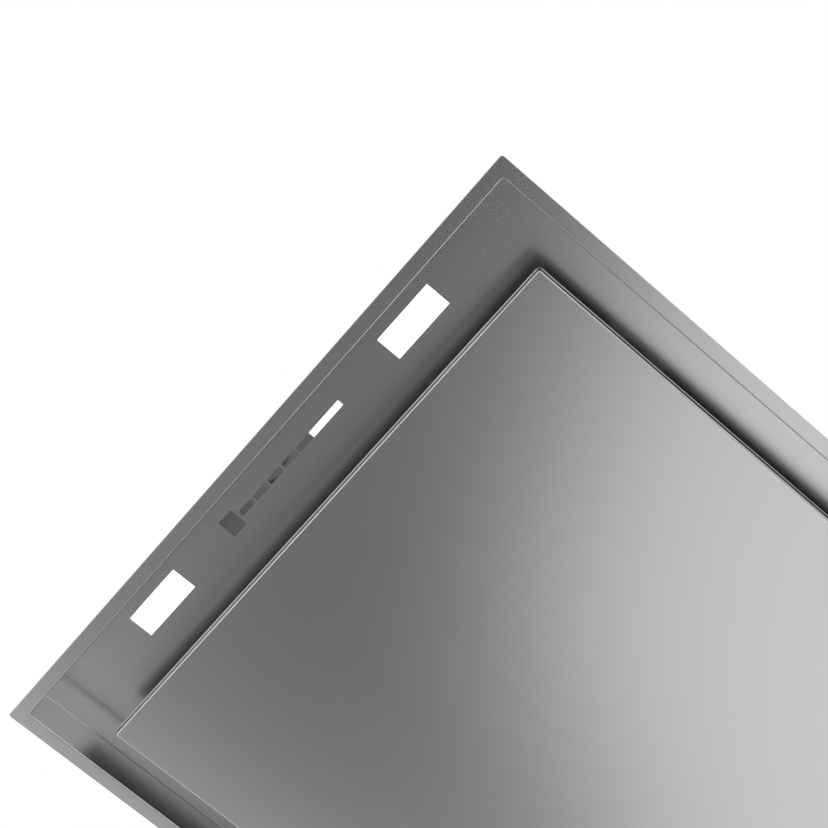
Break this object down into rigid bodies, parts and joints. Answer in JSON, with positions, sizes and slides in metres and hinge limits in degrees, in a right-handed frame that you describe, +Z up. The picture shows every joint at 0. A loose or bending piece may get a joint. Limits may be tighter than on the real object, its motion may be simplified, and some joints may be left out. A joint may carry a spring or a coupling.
{
  "type": "ceiling range hood",
  "caption": "Flush ceiling range hood: stainless trim tray with edge suction round a drop-down centre panel, recessed lamps and indicators, grease filters, blower and duct collar.",
  "frame": {"origin": "centre of the ceiling cut-out, at the underside of the ceiling where the trim flange seats", "axes": "+X along the hood from the indicator end to the other end, +Y to the latch side of the panel, +Z up into the ceiling"},
  "size_m": [0.9, 0.5, 0.3001],
  "materials": {
    "stainless": "satin stainless steel, finely brushed",
    "galvanised": "galvanised sheet steel with a faint spangle",
    "dark_paint": "satin black paint on sheet steel",
    "zinc": "bright zinc plate",
    "spring_steel": "bright spring steel",
    "filter_metal": "mill aluminium",
    "cast_metal": "die-cast aluminium",
    "black_plastic": "fine-grained black moulding",
    "grey_plastic": "fine-grained grey moulding",
    "lamp_white": "opal diffuser, lit from behind",
    "dim_lens": "smoked lens, unlit",
    "signal_glass": "smoked infrared window"
  },
  "bodies": {
    "housing": {"trim_tray": "stainless", "casing": "galvanised", "blower_box": "galvanised", "scroll_housing": "galvanised", "inlet_ring": "black_plastic", "motor": "cast_metal", "outlet_collar": "black_plastic", "flap_pin": "spring_steel", "filter_crossbar": "zinc", "indicator_carrier": "black_plastic", "lit_indicator": "lamp_white", "speed_indicators": "dim_lens", "signal_window": "signal_glass", "control_box": "galvanised", "control_lid": "galvanised", "lamp_driver": "grey_plastic", "terminal_box": "grey_plastic", "cable_gland": "black_plastic", "hinge_bracket_near": "zinc", "hinge_pin_near": "spring_steel", "latch_housing_near": "black_plastic", "filter_spring_near": "spring_steel", "hinge_bracket_far": "zinc", "hinge_pin_far": "spring_steel", "latch_housing_far": "black_plastic", "filter_spring_far": "spring_steel", "lamp_lens_near_left": "lamp_white", "lamp_housing_near_left": "cast_metal", "hanging_bracket_near_left": "zinc", "bracket_bolt_near_left": "zinc", "lamp_lens_near_right": "lamp_white", "lamp_housing_near_right": "cast_metal", "hanging_bracket_near_right": "zinc", "bracket_bolt_near_right": "zinc", "lamp_lens_far_left": "lamp_white", "lamp_housing_far_left": "cast_metal", "hanging_bracket_far_left": "zinc", "bracket_bolt_far_left": "zinc", "lamp_lens_far_right": "lamp_white", "lamp_housing_far_right": "cast_metal", "hanging_bracket_far_right": "zinc", "bracket_bolt_far_right": "zinc"},
    "panel": {"panel_skin": "stainless", "panel_back": "dark_paint", "hinge_leaf_near": "zinc", "hinge_leaf_far": "zinc", "strike_plate_near": "zinc", "strike_plate_far": "zinc"},
    "plunger_near": {"latch_plunger_near": "grey_plastic"},
    "plunger_far": {"latch_plunger_far": "grey_plastic"},
    "filter_near": {"filter_frame_near": "filter_metal", "filter_mesh_near": "filter_metal", "filter_pull_near": "spring_steel"},
    "filter_far": {"filter_frame_far": "filter_metal", "filter_mesh_far": "filter_metal", "filter_pull_far": "spring_steel"},
    "fan": {"impeller": "galvanised", "motor_shaft": "spring_steel"},
    "flap_left": {"flap_left": "black_plastic"},
    "flap_right": {"flap_right": "black_plastic"}
  },
  "joints": [
    {"name": "panel_swing", "type": "hinge", "parent": "housing", "child": "panel", "pos_m": [0, -0.205, 0.0148], "axis": [-1, 0, 0], "range_deg": [0, 90]},
    {"name": "latch_push_near", "type": "slide", "parent": "housing", "child": "plunger_near", "axis": [0, 0, 1], "range_m": [0, 0.0025], "stiffness_N_per_m": 300, "springref_m": -0.004},
    {"name": "latch_push_far", "type": "slide", "parent": "housing", "child": "plunger_far", "axis": [0, 0, 1], "range_m": [0, 0.0025], "stiffness_N_per_m": 300, "springref_m": -0.004},
    {"name": "filter_slide_near", "type": "slide", "parent": "housing", "child": "filter_near", "axis": [-1, 0, 0], "range_m": [0, 0.008], "stiffness_N_per_m": 800, "springref_m": -0.004, "deforming": ["filter_spring_near"]},
    {"name": "filter_slide_far", "type": "slide", "parent": "housing", "child": "filter_far", "axis": [1, 0, 0], "range_m": [0, 0.008], "stiffness_N_per_m": 800, "springref_m": -0.004, "deforming": ["filter_spring_far"]},
    {"name": "fan_spin", "type": "hinge", "parent": "housing", "child": "fan", "pos_m": [0, 0, 0.2], "axis": [0, 0, 1], "continuous": true},
    {"name": "flap_swing_left", "type": "hinge", "parent": "housing", "child": "flap_left", "pos_m": [0.1893, -0.091, 0.21965], "axis": [0, 0, -1], "range_deg": [0, 75], "stiffness_Nm_per_rad": 0.01, "springref_deg": -17.19},
    {"name": "flap_swing_right", "type": "hinge", "parent": "housing", "child": "flap_right", "pos_m": [0.1893, -0.091, 0.21965], "axis": [0, 0, 1], "range_deg": [0, 75], "stiffness_Nm_per_rad": 0.01, "springref_deg": -17.19}
  ]
}
